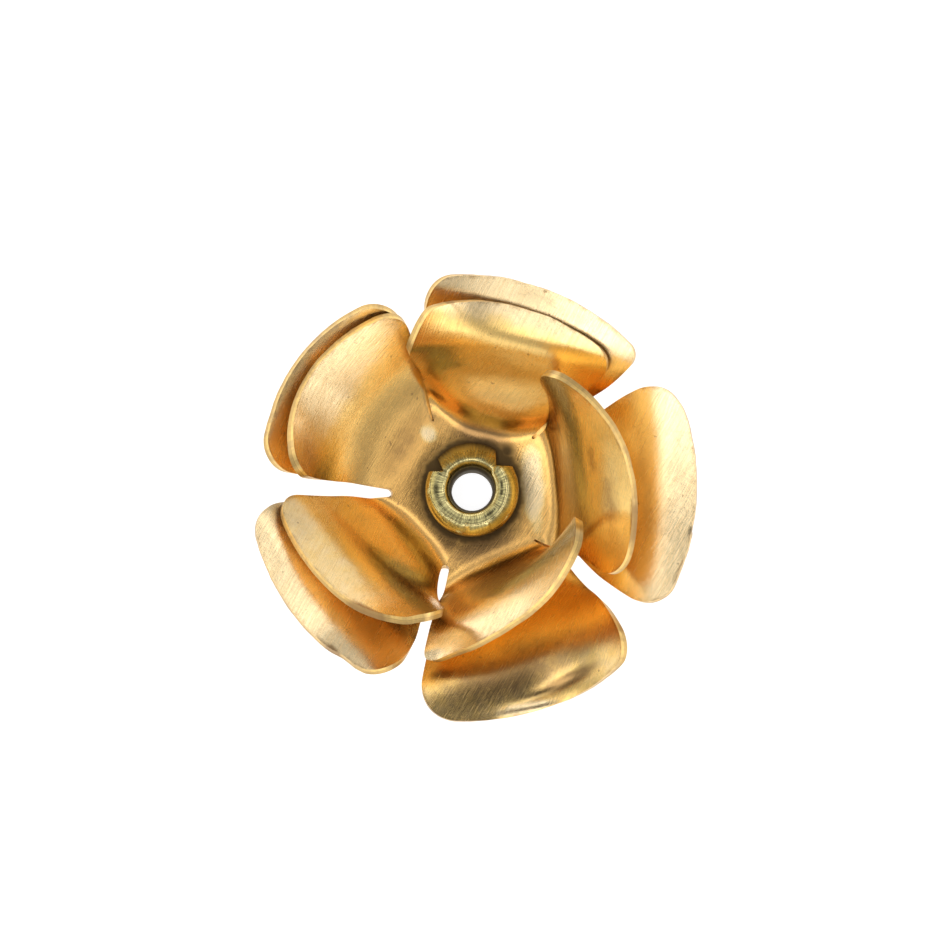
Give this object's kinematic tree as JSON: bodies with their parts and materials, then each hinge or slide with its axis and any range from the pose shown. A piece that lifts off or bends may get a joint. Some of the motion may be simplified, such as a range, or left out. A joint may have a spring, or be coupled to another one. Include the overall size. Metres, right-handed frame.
{
  "type": "flower bead cap",
  "caption": "Layered flower bead cap of bent brass sheet, its cupped petals riveted by a tubular eyelet that a head pin or thread passes through",
  "frame": {"origin": "on the eyelet's axis, in the plane of the foot that the cap stands on, which is the lowest plane and the middle of the petals' spread", "axes": "+Z along the eyelet towards the open side of the cup, +X and +Y across the petals as the picture shows them from above"},
  "size_m": [0.0219, 0.0219, 0.0086],
  "materials": {
    "outer_flower": "satin brushed, lightly tarnished",
    "inner_flower": "satin brushed",
    "eyelet": "polished yellow brass with fine setting marks"
  },
  "bodies": {
    "root": {"outer_flower": "outer_flower", "inner_flower": "inner_flower", "eyelet": "eyelet"}
  },
  "joints": []
}
